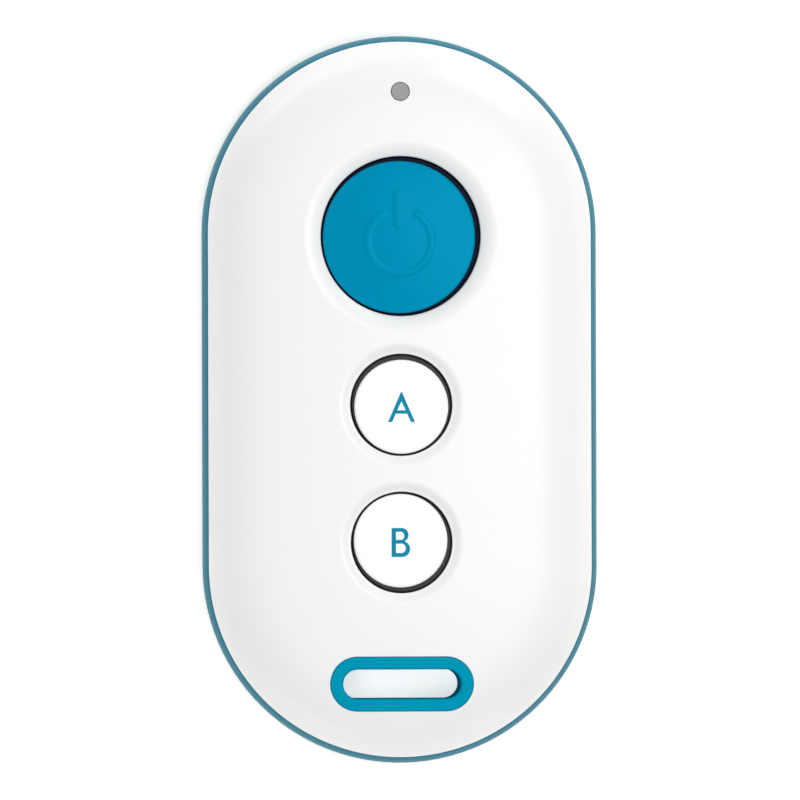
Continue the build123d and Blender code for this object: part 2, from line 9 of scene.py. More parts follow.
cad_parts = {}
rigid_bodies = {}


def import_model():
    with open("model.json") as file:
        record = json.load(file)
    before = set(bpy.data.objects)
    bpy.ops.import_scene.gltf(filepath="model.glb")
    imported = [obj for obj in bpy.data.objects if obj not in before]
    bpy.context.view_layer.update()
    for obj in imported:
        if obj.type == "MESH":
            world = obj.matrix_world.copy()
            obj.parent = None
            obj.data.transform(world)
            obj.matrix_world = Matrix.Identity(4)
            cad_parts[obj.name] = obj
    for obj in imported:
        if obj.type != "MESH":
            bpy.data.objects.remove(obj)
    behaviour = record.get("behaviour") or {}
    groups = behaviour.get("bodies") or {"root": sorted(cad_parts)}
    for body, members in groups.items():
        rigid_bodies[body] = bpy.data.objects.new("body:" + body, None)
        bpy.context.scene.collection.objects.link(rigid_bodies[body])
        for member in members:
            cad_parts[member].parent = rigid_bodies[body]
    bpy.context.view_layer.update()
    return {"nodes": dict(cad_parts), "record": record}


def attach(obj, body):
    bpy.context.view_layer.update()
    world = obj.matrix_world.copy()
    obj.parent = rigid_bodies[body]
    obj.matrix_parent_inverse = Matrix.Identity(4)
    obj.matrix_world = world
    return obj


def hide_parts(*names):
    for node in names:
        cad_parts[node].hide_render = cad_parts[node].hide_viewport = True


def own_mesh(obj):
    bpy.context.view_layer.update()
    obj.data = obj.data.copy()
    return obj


for old in list(bpy.data.objects):
    bpy.data.objects.remove(old)

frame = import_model()
NODES = frame["nodes"]

MM = 0.001

# ---------------------------------------------------------------- sizes, in mm
HALF_SPAN = 16.0
CROWN_R, EDGE_R, WALL = 180.0, 5.6, 1.4
A_EDGE = math.radians(79.0)
COVER_R = 18.46
S_CROWN = (COVER_R - EDGE_R * math.sin(A_EDGE)) / (CROWN_R - EDGE_R)
A_CROWN = math.asin(S_CROWN)
CROWN_CZ = 12.0 - CROWN_R
EDGE_CX = (CROWN_R - EDGE_R) * S_CROWN
EDGE_CZ = CROWN_CZ + (CROWN_R - EDGE_R) * math.cos(A_CROWN)
JOINT_Z = EDGE_CZ + EDGE_R * math.cos(A_EDGE)
LIP_OUT, LIP_IN, LIP_Z = 17.5, 16.9, JOINT_Z - 1.4

KEYS = ["power", "a", "b"]
KEY_Y = [15.70, -0.52, -13.75]
HOLE_R = [7.69, 4.91, 4.88]
SEAT_R = [9.40, 6.10, 6.07]           # where the seat has faded into the crown
RIM_Z = [11.20, 11.62, 11.62]
CAP_R = [7.32, 4.52, 4.50]
CAP_DX = [-0.16, 0.0, -0.10]
CAP_DY = [-0.10, -0.19, 0.165]
CAP_TOP = [11.62, 11.90, 11.90]
CAP_DOME = [60.0, 120.0, 120.0]
CAP_Z0 = [10.87, 11.40, 11.40]
LED_Y, LED_HOLE = 29.60, 0.91
SLOT_Y = -27.36
CUT_L, CUT_W = 13.80, 5.27
SCREW_XY = [(9.5, -24.3), (-9.5, -24.3)]
BOSS_Z = 5.9
BOARD_TOP, MAT_TOP = 6.3, 6.9


# ================================================================ mesh helpers
class Skin:
    """A surface gathered from rings, strips and patches, with its own normal at every face corner."""

    def __init__(self):
        self.co, self.faces, self.corners = [], [], []

    def points(self, pts):
        first = len(self.co)
        self.co.extend([tuple(map(float, p)) for p in pts])
        return list(range(first, len(self.co)))

    def face(self, idx, normals):
        p = np.array([self.co[i] for i in idx])
        a = np.zeros(3)
        for k in range(1, len(p) - 1):
            a += np.cross(p[k] - p[0], p[k + 1] - p[0])
        if np.dot(a, np.sum(normals, axis=0)) < 0:
            idx, normals = list(idx)[::-1], list(normals)[::-1]
        self.faces.append(tuple(idx))
        self.corners.extend([tuple(map(float, n)) for n in normals])

    def strip(self, a, b, na, nb, closed=True):
        n = len(a)
        for i in range(n if closed else n - 1):
            j = (i + 1) % n
            self.face([a[i], a[j], b[j], b[i]], [na[i], na[j], nb[j], nb[i]])

    def make(self, name):
        mesh = bpy.data.meshes.new(name)
        mesh.from_pydata([Vector(p) * MM for p in self.co], [], self.faces)
        mesh.polygons.foreach_set("use_smooth", [True] * len(mesh.polygons))
        mesh.normals_split_custom_set([Vector(n).normalized() for n in self.corners])
        mesh.update()
        o = bpy.data.objects.new(name, mesh)
        bpy.context.scene.collection.objects.link(o)
        return o


def ring_normals(pts, nr, nz, centre):
    """Normals with radial part nr and upward part nz, round a centre."""
    out = []
    for p in pts:
        d = Vector((p[0] - centre[0], p[1] - centre[1], 0))
        d = d.normalized() if d.length > 1e-9 else Vector((0, 0, 0))
        out.append(Vector((d.x * nr, d.y * nr, nz)).normalized())
    return out


def lathe(skin, centre, profile, segments=64, cap_low=True, cap_high=True):
    """Revolved solid. Profile: list of (radius, z); each stretch gets its own flat-across normal."""
    a = np.linspace(0, 2 * math.pi, segments, endpoint=False)
    rings = []
    for r, z in profile:
        rings.append(skin.points([(centre[0] + r * math.cos(t), centre[1] + r * math.sin(t), z) for t in a]))
    for k in range(len(profile) - 1):
        (r0, z0), (r1, z1) = profile[k], profile[k + 1]
        dr, dz = r1 - r0, z1 - z0
        nr, nz = dz, -dr
        pts = [skin.co[i] for i in rings[k]]
        n = ring_normals(pts, nr, nz, centre)
        skin.strip(rings[k], rings[k + 1], n, n)
    if cap_low:
        skin.face(rings[0], [Vector((0, 0, -1 if profile[1][1] >= profile[0][1] else 1))] * segments)
    if cap_high:
        skin.face(rings[-1], [Vector((0, 0, 1 if profile[-1][1] >= profile[-2][1] else -1))] * segments)


def block(skin, corners_low, z0, z1):
    """Prism on a plan polygon."""
    low = skin.points([(x, y, z0) for x, y in corners_low])
    high = skin.points([(x, y, z1) for x, y in corners_low])
    n = len(low)
    c = np.mean(np.array(corners_low), axis=0)
    for i in range(n):
        j = (i + 1) % n
        e = np.array(corners_low[j]) - np.array(corners_low[i])
        m = np.array([e[1], -e[0]])
        mid = (np.array(corners_low[i]) + np.array(corners_low[j])) / 2 - c
        if m @ mid < 0:
            m = -m
        v = Vector((m[0], m[1], 0)).normalized()
        skin.face([low[i], low[j], high[j], high[i]], [v] * 4)
    skin.face(low, [Vector((0, 0, -1))] * n)
    skin.face(high, [Vector((0, 0, 1))] * n)


def triangulate(loops, inner):
    """Triangles of the region inside the first loop and outside the others. Returns index triples into
    the concatenated loops + inner points."""
    pts, edges, owner = [], [], []
    for k, loop in enumerate(loops):
        first = len(pts)
        pts.extend([Vector((float(x), float(y))) for x, y in loop])
        owner.extend([k] * len(loop))
        edges.extend([(first + i, first + (i + 1) % len(loop)) for i in range(len(loop))])
    pts.extend([Vector((float(x), float(y))) for x, y in inner])
    owner.extend([-1] * len(inner))
    _, _, faces, back, _, _ = delaunay_2d_cdt(pts, edges, [], 0, 1e-7)
    out = []
    for f in faces:
        idx = [back[i][0] for i in f]
        own = {owner[i] for i in idx}
        if len(own) == 1 and -1 not in own:
            continue
        out.append(tuple(idx))
    return out


def stadium(r, n_side, n_end, half=HALF_SPAN, centre=(0.0, 0.0), along_x=False):
    """Points round a stadium, counter-clockwise, with their outward directions."""
    pts, out = [], []
    ends = [(0.0, half, 0.0), (0.0, -half, math.pi)]
    for ex, ey, start in ends:
        for k in range(n_end):
            t = start + math.pi * k / n_end
            d = (math.cos(t), math.sin(t))
            pts.append((ex + r * d[0], ey + r * d[1])), out.append(d)
        d = (math.cos(start + math.pi), math.sin(start + math.pi))
        x0, y0 = ex + r * d[0], ey + r * d[1]
        for k in range(n_side):
            s = k / n_side
            pts.append((x0, y0 + (-2 * ey) * s)), out.append(d)
    if along_x:
        pts = [(y, -x) for x, y in pts]
        out = [(y, -x) for x, y in out]
    pts = [(x + centre[0], y + centre[1]) for x, y in pts]
    return np.array(pts), np.array(out)


# ================================================================ front cover
def blend_table(span=2.0):
    """Tilt of the cover's shading normal by distance from the spine, averaged over a short span so
    that the crown rolls into the edge without a visible line."""
    r = np.linspace(-3.0, EDGE_CX + EDGE_R * 0.98, 4000)
    tilt = np.where(np.abs(r) <= CROWN_R * S_CROWN, np.arcsin(np.clip(r / CROWN_R, -1, 1)),
                    np.arcsin(np.clip((r - EDGE_CX) / EDGE_R, -1, 1)))
    total = np.concatenate([[0.0], np.cumsum((tilt[1:] + tilt[:-1]) / 2 * np.diff(r))])
    reach = span * np.clip((17.7 - r) / 2.3, 0.0, 1.0)
    wide = np.maximum(reach, 1e-3)
    mean = (np.interp(r + wide, r, total) - np.interp(r - wide, r, total)) / (2 * wide)
    keep = (r >= 0) & (r + wide <= r[-1])
    return r[keep], np.where(reach > 2e-3, mean, tilt)[keep]


BLEND = blend_table()


def blend_tilt(r):
    return np.interp(r, BLEND[0], BLEND[1])


def crown(x, y, under=False):
    """Height of the cover's crown and its slope in x and y."""
    cr, er = (CROWN_R - WALL, EDGE_R - WALL) if under else (CROWN_R, EDGE_R)
    dy = y - np.clip(y, -HALF_SPAN, HALF_SPAN)
    r = np.hypot(x, dy)
    limit = cr * math.sin(A_CROWN)
    safe = np.maximum(er ** 2 - (r - EDGE_CX) ** 2, 1e-12)
    z = np.where(r <= limit, CROWN_CZ + np.sqrt(cr ** 2 - r ** 2), EDGE_CZ + np.sqrt(safe))
    slope = np.where(r <= limit, -r / np.sqrt(cr ** 2 - r ** 2), -(r - EDGE_CX) / np.sqrt(safe))
    if not under:
        slope = -np.tan(blend_tilt(r))
    q = np.where(r > 1e-9, r, 1.0)
    return z, slope * x / q, slope * dy / q


def ease(u):
    u = np.clip(u, 0.0, 1.0)
    return u * u * (3 - 2 * u), 6 * u * (1 - u)


def seat_share(i, rho):
    """Share of the way up from the hole's rim to the crown at distance rho, and its slope."""
    if i == 0:
        width = SEAT_R[0] - HOLE_R[0]
        u = np.clip((SEAT_R[0] - rho) / width, 0.0, 1.0)
        return 1 - u * u, 2 * u / width
    lo, hi = HOLE_R[i] + 0.09, SEAT_R[i]
    u = np.clip((rho - lo) / (hi - lo), 0.0, 1.0)
    return 1 - (1 - u) ** 3 * (1 + 3 * u), 12 * u * (1 - u) ** 2 / (hi - lo)


def top_height(x, y):
    """Outer surface of the cover with its dished seats, and its slope."""
    z, gx, gy = crown(x, y)
    for i in range(3):
        dx, dy = x, y - KEY_Y[i]
        rho = np.hypot(dx, dy)
        s, ds = seat_share(i, rho)
        inside = rho < SEAT_R[i]
        q = np.where(rho > 1e-9, rho, 1.0)
        zs = RIM_Z[i] + (z - RIM_Z[i]) * s
        gxs = gx * s + (z - RIM_Z[i]) * ds * dx / q
        gys = gy * s + (z - RIM_Z[i]) * ds * dy / q
        z, gx, gy = np.where(inside, zs, z), np.where(inside, gxs, gx), np.where(inside, gys, gy)
    return z, gx, gy


def lift(points2, under=False, drop=None, drop_slope=None, away=None):
    """3-D points and normals over plan points, less a rim drop measured away from a hole."""
    x, y = points2[:, 0], points2[:, 1]
    z, gx, gy = crown(x, y, True) if under else top_height(x, y)
    if drop is not None:
        z = z - drop
        gx, gy = gx + drop_slope * away[:, 0], gy + drop_slope * away[:, 1]
    n = np.stack([-gx, -gy, np.ones_like(gx)], 1)
    n /= np.linalg.norm(n, axis=1)[:, None]
    if under:
        n = -n
    return np.stack([x, y, z], 1), n


def build_cover():
    skin = Skin()
    n_side, n_end = 56, 112
    r_patch = 15.4

    # openings: plan curve at distance t from the edge, rim softness, rows up to the patch
    openings = []

    def circle(cy, r, n):
        a = np.linspace(0, 2 * math.pi, n, endpoint=False)
        d = np.stack([np.cos(a), np.sin(a)], 1)
        return (lambda t: np.array([0.0, cy]) + (r + t) * d), d

    for i in range(3):
        at, d = circle(KEY_Y[i], HOLE_R[i], 288 if i == 0 else 208)
        if i == 0:
            rows = [0.12, 0.2, 0.32, 0.45, 0.6, 0.75, 0.9, 1.05, 1.2, 1.35, 1.5, 1.6, 1.68, 1.73, 1.85, 2.0]
        else:
            rows = [0.12, 0.16, 0.22, 0.29, 0.36, 0.43, 0.5, 0.57, 0.65, 0.74, 0.83, 0.93, 1.04, 1.14, 1.22, 1.3]
        openings.append((at, d, 0.12, rows))
    at, d = circle(LED_Y, LED_HOLE, 96)
    openings.append((at, d, 0.07, [0.07, 0.12, 0.2, 0.29]))
    half = (CUT_L - CUT_W) / 2
    _, d = stadium(1.0, 24, 56, half, (0.0, SLOT_Y), along_x=True)
    openings.append((
        lambda t: stadium(CUT_W / 2 + t, 24, 56, half, (0.0, SLOT_Y), along_x=True)[0],
        d, 0.06, [0.06, 0.11, 0.2, 0.3]))

    loops_top, loops_low = [], []
    outer, out_dir = stadium(r_patch, n_side, n_end)
    p, n = lift(outer)
    loops_top.append((skin.points(p), n))
    p, n = lift(outer, under=True)
    loops_low.append((skin.points(p), n))
    plan_loops = [outer]

    for at, d, soft, rows in openings:
        # patch boundary, then inwards down the seat, over the rim, down the wall
        edge = at(rows[-1])
        plan_loops.append(edge)
        p, n = lift(edge)
        ids = skin.points(p)
        loops_top.append((ids, n))
        prev, prev_n = ids, n
        for t in rows[-2::-1]:
            q = at(t)
            p, n = lift(q)
            ids = skin.points(p)
            skin.strip(prev, ids, prev_n, n)
            prev, prev_n = ids, n
        for share in (0.62, 0.34, 0.15, 0.04, 0.0):
            t = soft * share
            root = math.sqrt(max(soft ** 2 - (soft - t) ** 2, 1e-10))
            q = at(t)
            p, n = lift(q, drop=soft - root, drop_slope=(soft - t) / root, away=d)
            if share == 0.0:
                n = np.stack([-d[:, 0], -d[:, 1], np.zeros(len(d))], 1)
            ids = skin.points(p)
            skin.strip(prev, ids, prev_n, n)
            prev, prev_n = ids, n
        wall = np.stack([-d[:, 0], -d[:, 1], np.zeros(len(d))], 1)
        low_edge = at(0.0)
        p, n_low = lift(low_edge, under=True)
        ids = skin.points(p)
        skin.strip(prev, ids, wall, wall)
        # underside back out to the patch boundary
        p, n2 = lift(edge, under=True)
        ids2 = skin.points(p)
        skin.strip(ids, ids2, n_low, n2)
        loops_low.append((ids2, n2))

    # free points of the patch: rings where the crown turns down, and a triangular grid inside
    free = []
    for r in (15.15, 14.9, 14.65, 14.4, 14.15, 13.9, 13.65, 13.45, 13.3, 12.9):
        q, _ = stadium(r, n_side, n_end)
        free.append(q)
    step = 0.8
    grid = []
    rows_n = int(80 / (step * 0.866))
    for k in range(-rows_n // 2, rows_n // 2 + 1):
        y = k * step * 0.866
        for m in range(-24, 25):
            x = (m + 0.5 * (k % 2)) * step
            if math.hypot(x, y - max(-HALF_SPAN, min(HALF_SPAN, y))) < 12.4:
                grid.append((x, y))
    free.append(np.array(grid))
    free = np.concatenate(free)
    keep = np.ones(len(free), bool)
    for i in range(3):
        rb = HOLE_R[i] + (2.0 if i == 0 else 1.3)
        keep &= np.hypot(free[:, 0], free[:, 1] - KEY_Y[i]) > rb + 0.2
    keep &= np.hypot(free[:, 0], free[:, 1] - LED_Y) > LED_HOLE + 0.29 + 0.12
    sx = np.maximum(np.abs(free[:, 0]) - half, 0)
    keep &= np.hypot(sx, free[:, 1] - SLOT_Y) > CUT_W / 2 + 0.3 + 0.15
    free = free[keep]

    tris = triangulate(plan_loops, free)
    for under in (False, True):
        loops = loops_low if under else loops_top
        p, n = lift(free, under)
        ids = skin.points(p)
        all_ids = [i for lp in loops for i in lp[0]] + ids
        all_n = np.concatenate([lp[1] for lp in loops] + [n])
        for t in tris:
            skin.face([all_ids[i] for i in t], [all_n[i] for i in t])

    # outer edge, hem, lip and inner edge
    def row(profile_r, profile_z, nr, nz):
        q, dd = stadium(profile_r, n_side, n_end)
        ids = skin.points(np.column_stack([q, np.full(len(q), profile_z)]))
        nn = np.column_stack([dd * nr, np.full(len(q), nz)])
        return ids, nn

    prev, prev_n = loops_top[0]
    a0 = math.asin((r_patch - EDGE_CX) / EDGE_R)
    hem = 0.12
    rc = EDGE_CX + math.sqrt((EDGE_R - hem) ** 2 - (JOINT_Z + hem - EDGE_CZ) ** 2)
    zc = JOINT_Z + hem
    a1 = math.acos((zc - EDGE_CZ) / (EDGE_R - hem))
    for k in range(1, 25):
        t = a0 + (a1 - a0) * k / 24
        r = EDGE_CX + EDGE_R * math.sin(t)
        tilt = float(blend_tilt(r)) if r < 17.7 else t
        ids, n = row(r, EDGE_CZ + EDGE_R * math.cos(t), math.sin(tilt), math.cos(tilt))
        skin.strip(prev, ids, prev_n, n)
        prev, prev_n = ids, n
    for k in range(1, 7):
        t = a1 + (math.pi - a1) * k / 6
        ids, n = row(rc + hem * math.sin(t), zc + hem * math.cos(t), math.sin(t), math.cos(t))
        skin.strip(prev, ids, prev_n, n)
        prev, prev_n = ids, n
    down = [(LIP_OUT, JOINT_Z, 0, -1, 0, -1), (LIP_OUT, LIP_Z, 1, 0, 1, 0), (LIP_IN, LIP_Z, 0, -1, 0, -1)]
    a_lip = math.asin((LIP_IN - EDGE_CX) / (EDGE_R - WALL))
    down.append((LIP_IN, EDGE_CZ + (EDGE_R - WALL) * math.cos(a_lip), -1, 0, -1, 0))
    for r, z, na, nza, nb, nzb in down:
        ids, n = row(r, z, nb, nzb)
        _, n_start = row(r, z, na, nza)
        skin.co = skin.co[:-len(ids)]
        skin.strip(prev, ids, n_start, n)
        prev = ids
    a2 = math.asin((r_patch - EDGE_CX) / (EDGE_R - WALL))
    _, prev_n = row(LIP_IN, down[-1][1], -math.sin(a_lip), -math.cos(a_lip))
    skin.co = skin.co[:-len(prev)]
    for k in range(1, 8):
        t = a_lip + (a2 - a_lip) * k / 8
        ids, n = row(EDGE_CX + (EDGE_R - WALL) * math.sin(t), EDGE_CZ + (EDGE_R - WALL) * math.cos(t), -math.sin(t), -math.cos(t))
        skin.strip(prev, ids, prev_n, n)
        prev, prev_n = ids, n
    skin.strip(prev, loops_low[0][0], prev_n, loops_low[0][1])

    # screw bosses with blind pilot holes
    for x, y in SCREW_XY:
        lathe(skin, (x, y), [(0.86, 9.5), (0.86, BOSS_Z + 0.2), (1.02, BOSS_Z), (1.95, BOSS_Z), (2.1, BOSS_Z + 0.15), (2.1, 10.6)], 64, cap_low=True, cap_high=True)
    # crush ribs on the side wall
    for x, y, turn in ((0, -10, 0), (0, 9, 0), (0, -10, 180), (0, 9, 180), (0, 16, 55), (0, 16, 125)):
        c, s = math.cos(math.radians(turn)), math.sin(math.radians(turn))
        pts = [(15.95, -0.8), (17.2, -0.8), (17.2, 0.8), (15.95, 0.8)]
        block(skin, [(x + c * u - s * v, y + s * u + c * v) for u, v in pts], BOARD_TOP, 8.85)
    # snap beads on the long sides and the tongue at the indicator end
    for side in (-1, 1):
        block(skin, [(side * 17.3, -3.5), (side * 17.8, -3.5), (side * 17.8, 3.5), (side * 17.3, 3.5)], LIP_Z, LIP_Z + 0.4)
    arc = [math.radians(t) for t in np.linspace(77, 103, 14)]
    tongue = [(17.95 * math.cos(t), 16 + 17.95 * math.sin(t)) for t in arc] + [(17.4 * math.cos(t), 16 + 17.4 * math.sin(t)) for t in arc[::-1]]
    block(skin, tongue, LIP_Z, LIP_Z + 0.5)
    return skin.make("front_cover_crowned")


# ================================================================ power cap
def stroke_loop(path, half, n_cap=14):
    """Closed outline at a distance from an open line."""
    p = np.array(path, float)
    d = np.gradient(p, axis=0)
    d /= np.linalg.norm(d, axis=1)[:, None]
    nrm = np.stack([-d[:, 1], d[:, 0]], 1)
    loop = [tuple(q) for q in (p - nrm * half)]
    a = math.atan2(-nrm[-1][1], -nrm[-1][0])
    loop += [(p[-1][0] + half * math.cos(a + math.pi * k / n_cap), p[-1][1] + half * math.sin(a + math.pi * k / n_cap)) for k in range(1, n_cap)]
    loop += [tuple(q) for q in (p + nrm * half)[::-1]]
    a = math.atan2(nrm[0][1], nrm[0][0])
    loop += [(p[0][0] + half * math.cos(a + math.pi * k / n_cap), p[0][1] + half * math.sin(a + math.pi * k / n_cap)) for k in range(1, n_cap)]
    return np.array(loop)


def line_distance(q, path):
    """Distance of points q from an open line, and the direction away from it."""
    p = np.array(path, float)
    a, b = p[:-1], p[1:]
    ab = b - a
    t = np.einsum("kij,ij->ki", q[:, None, :] - a[None], ab) / np.einsum("ij,ij->i", ab, ab)
    near = a[None] + np.clip(t, 0, 1)[:, :, None] * ab[None]
    v = q[:, None, :] - near
    dist = np.linalg.norm(v, axis=2)
    k = dist.argmin(1)
    d = dist[np.arange(len(q)), k]
    v = v[np.arange(len(q)), k]
    return d, v / np.maximum(d, 1e-9)[:, None]


RELIEF, RELIEF_SOFT = 0.06, 0.21


def symbol_paths(cx, cy):
    sx, sy, r = cx + 0.05, cy - 0.41, 3.12
    arc = [(sx + r * math.cos(math.radians(t)), sy + r * math.sin(math.radians(t))) for t in np.linspace(122, 418, 90)]
    bar = [(cx - 0.10, cy + 1.20 + 2.94 * k / 16) for k in range(17)]
    return [(arc, 0.28), (bar, 0.33)]


def build_power_cap():
    cx, cy = CAP_DX[0], KEY_Y[0] + CAP_DY[0]
    R, top, dome, z0 = CAP_R[0], CAP_TOP[0], CAP_DOME[0], CAP_Z0[0]
    skin = Skin()
    paths = symbol_paths(cx, cy)

    def height(q):
        dx, dy = q[:, 0] - cx, q[:, 1] - cy
        r2 = dx ** 2 + dy ** 2
        root = np.sqrt(dome ** 2 - r2)
        z = top - dome + root
        gx, gy = -dx / root, -dy / root
        for path, half in paths:
            d, away = line_distance(q, path)
            u = (half + RELIEF_SOFT - d) / (2 * RELIEF_SOFT)
            s, ds = ease(u)
            z = z + RELIEF * s
            g = -RELIEF * ds / (2 * RELIEF_SOFT)
            gx, gy = gx + g * away[:, 0], gy + g * away[:, 1]
        n = np.stack([-gx, -gy, np.ones_like(gx)], 1)
        return np.column_stack([q, z]), n / np.linalg.norm(n, axis=1)[:, None]

    n_ring = 240
    a = np.linspace(0, 2 * math.pi, n_ring, endpoint=False)
    dd = np.stack([np.cos(a), np.sin(a)], 1)
    edge = np.array([cx, cy]) + 6.8 * dd

    free = []
    for path, half in paths:
        for off in (-0.19, -0.1, 0.0, 0.1, 0.19, 0.28):
            free.append(stroke_loop(path, half + off))
        free.append(np.array(path))
    near = np.concatenate(free)
    step = 0.45
    grid = []
    for k in range(-18, 19):
        for m in range(-18, 19):
            q = (cx + (m + 0.5 * (k % 2)) * step, cy + k * step * 0.866)
            if math.hypot(q[0] - cx, q[1] - cy) < 6.6:
                grid.append(q)
    grid = np.array(grid)
    ok = np.ones(len(grid), bool)
    for path, half in paths:
        d, _ = line_distance(grid, path)
        ok &= d > half + RELIEF_SOFT + 0.12
    free = np.concatenate([near, grid[ok]])
    tris = triangulate([edge], free)
    p, n = height(edge)
    ring = skin.points(p)
    ring_n = n
    pf, nf = height(free)
    ids = skin.points(pf)
    all_ids, all_n = ring + ids, np.concatenate([n, nf])
    for t in tris:
        skin.face([all_ids[i] for i in t], [all_n[i] for i in t])

    prev, prev_n = ring, ring_n
    soft = 0.22
    for r in (7.0, R - soft):
        p, n = height(np.array([cx, cy]) + r * dd)
        ids = skin.points(p)
        skin.strip(prev, ids, prev_n, n)
        prev, prev_n = ids, n
    zr = top - dome + math.sqrt(dome ** 2 - (R - soft) ** 2)
    for k in range(1, 8):
        t = math.radians(7) + (math.pi / 2 - math.radians(7)) * k / 7
        r, z = R - soft + soft * math.sin(t), zr - soft + soft * math.cos(t)
        q = np.array([cx, cy]) + r * dd
        n = np.column_stack([dd * math.sin(t), np.full(n_ring, math.cos(t))])
        ids = skin.points(np.column_stack([q, np.full(n_ring, z)]))
        skin.strip(prev, ids, prev_n, n)
        prev, prev_n = ids, n
    side = np.column_stack([dd, np.zeros(n_ring)])
    flat = np.tile([0.0, 0.0, -1.0], (n_ring, 1))
    q = np.array([cx, cy]) + R * dd
    low = skin.points(np.column_stack([q, np.full(n_ring, z0)]))
    skin.strip(prev, low, side, side)
    peg = skin.points(np.column_stack([np.array([cx, cy]) + 1.4 * dd, np.full(n_ring, z0)]))
    skin.strip(low, peg, flat, flat)
    peg_low = skin.points(np.column_stack([np.array([cx, cy]) + 1.4 * dd, np.full(n_ring, z0 - 0.6)]))
    skin.strip(peg, peg_low, side, side)
    skin.face(peg_low, [Vector((0, 0, -1))] * n_ring)
    return skin.make("power_cap_domed")


# ================================================================ printed letters
def letter_a():
    w, h, s = 1.30, 2.88, 0.395
    bar_low, bar_top = 0.80, 1.12
    inner = w * (1 - bar_low / h) - s
    outer = [(-w, 0), (-w + s, 0), (-inner, bar_low), (inner, bar_low), (w - s, 0), (w, 0), (0.05, h), (-0.05, h)]
    half = w * (1 - bar_top / h) - s
    hole = [(-half, bar_top), (half, bar_top), (0, h * (1 - s / w))]
    return [(x, y - h / 2) for x, y in outer], [[(x, y - h / 2) for x, y in hole]]


def bowl(cx, cy, rx, ry, a0, a1, n=20):
    return [(cx + rx * math.cos(math.radians(a0 + (a1 - a0) * k / n)), cy + ry * math.sin(math.radians(a0 + (a1 - a0) * k / n))) for k in range(n + 1)]


def letter_b():
    w, h = 1.77, 2.79
    outer = [(0, 0), (0.5, 0)] + bowl(1.00, 0.77, 0.78, 0.77, -90, 66) + bowl(0.95, 2.12, 0.68, 0.68, -62, 90) + [(0.5, h), (0, h)]
    low = [(0.42, 0.38)] + bowl(0.93, 0.835, 0.43, 0.455, -90, 90) + [(0.42, 1.29)]
    high = [(0.42, 1.65)] + bowl(0.90, 2.04, 0.32, 0.39, -90, 90) + [(0.42, 2.43)]
    move = lambda pts: [(x - w / 2, y - h / 2) for x, y in pts]
    return move(outer), [move(low), move(high)]


def dense(loop, step=0.12):
    out = []
    for i in range(len(loop)):
        a, b = np.array(loop[i]), np.array(loop[(i + 1) % len(loop)])
        n = max(1, int(math.ceil(np.linalg.norm(b - a) / step)))
        out.extend([tuple(a + (b - a) * k / n) for k in range(n)])
    return out


def build_letter(name, shape, i, at):
    """Ink film on the domed cap."""
    outer, holes = shape
    loops = [np.array(dense(lp)) + np.array(at) for lp in [outer] + holes]
    cx, cy = CAP_DX[i], KEY_Y[i] + CAP_DY[i]

    def surface(q, up):
        dx, dy = q[:, 0] - cx, q[:, 1] - cy
        root = np.sqrt(CAP_DOME[i] ** 2 - dx ** 2 - dy ** 2)
        z = CAP_TOP[i] - CAP_DOME[i] + root + up
        n = np.stack([dx / root, dy / root, np.ones_like(dx)], 1)
        return np.column_stack([q, z]), n / np.linalg.norm(n, axis=1)[:, None]

    pts = [Vector((float(x), float(y))) for lp in loops for x, y in lp]
    edges, first = [], 0
    for lp in loops:
        edges.extend([(first + k, first + (k + 1) % len(lp)) for k in range(len(lp))])
        first += len(lp)
    _, _, faces, back, _, _ = delaunay_2d_cdt(pts, edges, [], 0, 1e-7)

    def inside(p, loop):
        odd = False
        for k in range(len(loop)):
            (x0, y0), (x1, y1) = loop[k], loop[(k + 1) % len(loop)]
            if (y0 > p[1]) != (y1 > p[1]) and p[0] < (x1 - x0) * (p[1] - y0) / (y1 - y0) + x0:
                odd = not odd
        return odd

    plan = np.array([(v.x, v.y) for v in pts])
    skin = Skin()
    high, nh = surface(plan, 0.020)
    low, nl = surface(plan, -0.010)
    ih, il = skin.points(high), skin.points(low)
    for f in faces:
        idx = [back[k][0] for k in f]
        c = plan[idx].mean(0)
        u, v = plan[idx[1]] - plan[idx[0]], plan[idx[2]] - plan[idx[0]]
        if abs(u[0] * v[1] - u[1] * v[0]) < 2e-5:
            continue
        if inside(c, loops[0]) and not any(inside(c, lp) for lp in loops[1:]):
            skin.face([ih[k] for k in idx], [nh[k] for k in idx])
            skin.face([il[k] for k in idx], [-nl[k] for k in idx])
    first = 0
    for m, lp in enumerate(loops):
        n = len(lp)
        for k in range(n):
            u, v = first + k, first + (k + 1) % n
            e = plan[v] - plan[u]
            w = np.array([e[1], -e[0]]) / max(np.linalg.norm(e), 1e-9)
            mid = (plan[u] + plan[v]) / 2 + w * 0.01
            solid = inside(mid, loops[0]) and not any(inside(mid, q) for q in loops[1:])
            if solid:
                w = -w
            side = Vector((w[0], w[1], 0))
            skin.face([ih[u], ih[v], il[v], il[u]], [side] * 4)
        first += n
    return skin.make(name)


# ================================================================ webs and snap domes
def build_web(i):
    flange = [8.6, 5.9, 5.9][i]
    foot = [9.0, 6.2, 6.2][i]
    skin = Skin()
    outline = [(foot, 6.9), (foot + 0.3, 6.9), (flange, 9.3), (flange - 0.3, 9.3)]
    a = np.linspace(0, 2 * math.pi, 128, endpoint=False)
    rings = [skin.points([(r * math.cos(t), KEY_Y[i] + r * math.sin(t), z) for t in a]) for r, z in outline]
    c = (0.0, KEY_Y[i])
    for k, (nr, nz) in enumerate([(0, -1), (0.986, 0.164), (0, 1), (-0.986, -0.164)]):
        p = [skin.co[j] for j in rings[k]]
        n = ring_normals(p, nr, nz, c)
        skin.strip(rings[k], rings[(k + 1) % 4], n, n)
    return skin.make(KEYS[i] + "_web_soft")


